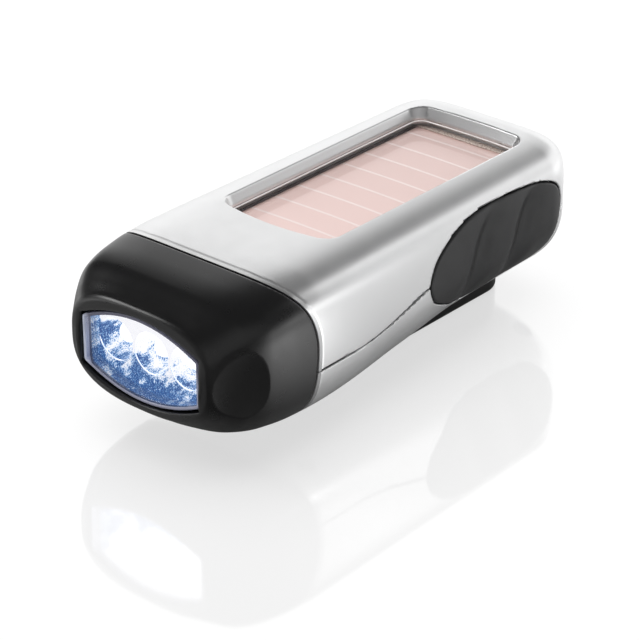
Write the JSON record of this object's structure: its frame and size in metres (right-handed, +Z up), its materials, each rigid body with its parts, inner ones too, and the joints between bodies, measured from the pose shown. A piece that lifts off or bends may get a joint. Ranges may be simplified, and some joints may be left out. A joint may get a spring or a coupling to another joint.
{
  "type": "hand crank and solar flashlight",
  "caption": "Pocket torch with a black nose and wide clear lens, silver shells, rubber side grips, a solar window on top and a folding hand crank beneath.",
  "frame": {"origin": "on the floor below the middle of the body, which lies level on its folded crank arm", "axes": "+X is the way the beam points, +Y is the torch's left side, +Z is up through the solar window"},
  "size_m": [0.13, 0.0542, 0.0426],
  "materials": {
    "silver_plastic": "satin silver paint on plastic",
    "black_plastic": "satin black plastic",
    "clear_plastic": "polished clear plastic",
    "plated_plastic": "bright plated plastic",
    "led_resin": "clear resin, lit white",
    "circuit_board": "green lacquered board",
    "grip_rubber": "matt dark grey rubber",
    "solar_film": "smooth cell behind its cover",
    "nylon": "natural moulded plastic",
    "brass": "turned",
    "steel": "bright plated",
    "copper_winding": "lacquered winding",
    "magnet": "sintered magnet",
    "cell_sleeve": "thin plastic sleeve on a button cell",
    "wire_red": "soft insulation",
    "wire_black": "soft insulation"
  },
  "bodies": {
    "housing": {"upper_shell": "silver_plastic", "lower_shell": "silver_plastic", "nose_cap": "black_plastic", "lens": "clear_plastic", "reflector": "plated_plastic", "led_board": "circuit_board", "led_right": "led_resin", "led_middle": "led_resin", "led_left": "led_resin", "grip_left": "grip_rubber", "grip_right": "grip_rubber", "solar_cover": "clear_plastic", "solar_cell": "solar_film", "gear_plate": "nylon", "crank_bush": "brass", "stator_can": "steel", "stator_coil": "copper_winding", "axle_first": "steel", "axle_second": "steel", "battery_cradle": "black_plastic", "battery_cell_1": "cell_sleeve", "battery_cell_2": "cell_sleeve", "battery_cell_3": "cell_sleeve", "main_board": "circuit_board", "switch_board": "circuit_board", "button_spring": "steel", "led_wire_red": "wire_red", "led_wire_black": "wire_black", "shell_screw_1": "steel", "shell_screw_2": "steel", "shell_screw_3": "steel", "shell_screw_4": "steel", "plate_screw_1": "steel", "plate_screw_2": "steel", "plate_screw_3": "steel", "plate_screw_4": "steel", "board_screw_1": "steel", "board_screw_2": "steel"},
    "crank": {"crank_arm": "black_plastic", "crank_shaft": "steel", "drive_gear": "nylon", "arm_screw": "steel", "knob_pin": "steel"},
    "knob_arm": {"knob_post": "steel", "knob_rivet": "steel"},
    "knob": {"knob_grip": "black_plastic"},
    "first_gear": {"compound_gear_first": "nylon"},
    "second_gear": {"compound_gear_second": "nylon"},
    "rotor": {"rotor_pinion": "brass", "rotor_shaft": "steel", "rotor_magnet": "magnet"},
    "button": {"push_button": "grip_rubber"}
  },
  "joints": [
    {"name": "crank_spin", "type": "hinge", "parent": "housing", "child": "crank", "pos_m": [0.008, 0, 0.0066], "axis": [0, 0, 1], "continuous": true},
    {"name": "first_spin", "type": "hinge", "parent": "housing", "child": "first_gear", "pos_m": [-0.0095, 0, 0.013], "axis": [0, 0, 1], "continuous": true},
    {"name": "second_spin", "type": "hinge", "parent": "housing", "child": "second_gear", "pos_m": [-0.0256, 0, 0.017], "axis": [0, 0, 1], "continuous": true},
    {"name": "rotor_spin", "type": "hinge", "parent": "housing", "child": "rotor", "pos_m": [-0.0396, 0, 0.02], "axis": [0, 0, 1], "continuous": true},
    {"name": "knob_fold", "type": "hinge", "parent": "crank", "child": "knob_arm", "pos_m": [-0.0505, 0, 0.0033], "axis": [0, 1, 0], "range_deg": [0, 90]},
    {"name": "knob_spin", "type": "hinge", "parent": "knob_arm", "child": "knob", "pos_m": [-0.0505, 0, 0.0033], "axis": [1, 0, 0], "continuous": true},
    {"name": "button_press", "type": "slide", "parent": "housing", "child": "button", "axis": [1, 0, 0], "range_m": [0, 0.0012], "stiffness_N_per_m": 800, "springref_m": -0.001, "deforming": ["button_spring"]}
  ],
  "couplings": [
    {"joint": "first_spin", "follows": "crank_spin", "ratio": -4},
    {"joint": "second_spin", "follows": "crank_spin", "ratio": 14.4},
    {"joint": "rotor_spin", "follows": "crank_spin", "ratio": -57.6}
  ]
}
